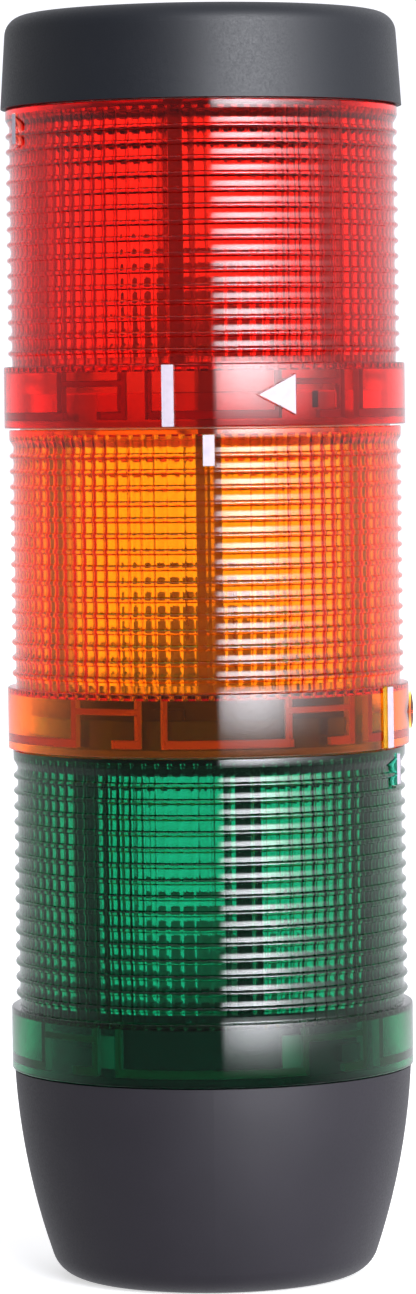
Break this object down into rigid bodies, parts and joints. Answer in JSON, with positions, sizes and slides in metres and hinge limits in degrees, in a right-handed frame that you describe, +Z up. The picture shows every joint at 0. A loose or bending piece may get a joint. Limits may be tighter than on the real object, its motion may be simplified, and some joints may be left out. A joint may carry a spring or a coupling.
{
  "type": "stack light",
  "caption": "Signal tower of twist-on coloured light modules with ribbed lenses, on a tapered black base with a flat black cap.",
  "frame": {"origin": "centre of the base's underside, on the stack's axis", "axes": "+Z up along the stack; the front is -Y, where the amber module's short top mark stands"},
  "size_m": [0.0707, 0.0703, 0.2193],
  "materials": {
    "black_housing": "fine spark-eroded moulding",
    "black_cap": "fine spark-eroded moulding",
    "green_lens": "clear tinted polycarbonate, polished mould",
    "amber_lens": "clear tinted polycarbonate, polished mould",
    "red_lens": "clear tinted polycarbonate, polished mould",
    "black_carrier": "moulded",
    "light_carrier": "moulded",
    "terminal_body": "moulded",
    "lamp_socket": "moulded",
    "lamp_brass": "drawn and tumbled",
    "lamp_glass": "clear blown glass",
    "contact_brass": "stamped strip",
    "screw_steel": "zinc plated",
    "mark_foil": "white hot-stamped foil on the lens marks",
    "seal_rubber": "moulded"
  },
  "bodies": {
    "base": {"base_housing": "black_housing", "base_gasket": "seal_rubber", "base_seal": "seal_rubber", "terminal_carrier": "terminal_body", "terminal_screws": "screw_steel", "base_contact_1": "contact_brass", "base_contact_2": "contact_brass", "base_contact_3": "contact_brass", "base_contact_4": "contact_brass", "base_contact_5": "contact_brass", "base_contact_6": "contact_brass"},
    "green": {"green_lens": "green_lens", "green_contact_carrier": "black_carrier", "green_lamp_socket": "lamp_socket", "green_lamp_cap": "lamp_brass", "green_lamp_glass": "lamp_glass", "green_seal": "seal_rubber", "green_contact_rail_1": "contact_brass", "green_contact_rail_2": "contact_brass", "green_contact_rail_3": "contact_brass", "green_contact_rail_4": "contact_brass", "green_contact_rail_5": "contact_brass", "green_contact_rail_6": "contact_brass"},
    "amber": {"amber_lens": "amber_lens", "amber_contact_carrier": "light_carrier", "amber_lamp_socket": "lamp_socket", "amber_lamp_cap": "lamp_brass", "amber_lamp_glass": "lamp_glass", "amber_seal": "seal_rubber", "amber_contact_rail_1": "contact_brass", "amber_contact_rail_2": "contact_brass", "amber_contact_rail_3": "contact_brass", "amber_contact_rail_4": "contact_brass", "amber_contact_rail_5": "contact_brass", "amber_contact_rail_6": "contact_brass"},
    "red": {"red_lens": "red_lens", "red_contact_carrier": "light_carrier", "red_lamp_socket": "lamp_socket", "red_lamp_cap": "lamp_brass", "red_lamp_glass": "lamp_glass", "red_seal": "seal_rubber", "red_contact_rail_1": "contact_brass", "red_contact_rail_2": "contact_brass", "red_contact_rail_3": "contact_brass", "red_contact_rail_4": "contact_brass", "red_contact_rail_5": "contact_brass", "red_contact_rail_6": "contact_brass"},
    "cap": {"cap_shell": "black_cap"}
  },
  "joints": [
    {"name": "green_twist", "type": "hinge", "parent": "base", "child": "green", "pos_m": [0, 0, 0.036], "axis": [0, 0, 1], "range_deg": [0, 11]},
    {"name": "amber_twist", "type": "hinge", "parent": "green", "child": "amber", "pos_m": [0, 0, 0.0916], "axis": [0, 0, 1], "range_deg": [0, 11]},
    {"name": "red_twist", "type": "hinge", "parent": "amber", "child": "red", "pos_m": [0, 0, 0.1472], "axis": [0, 0, 1], "range_deg": [0, 11]},
    {"name": "cap_twist", "type": "hinge", "parent": "red", "child": "cap", "pos_m": [0, 0, 0.2028], "axis": [0, 0, 1], "range_deg": [0, 11]}
  ]
}
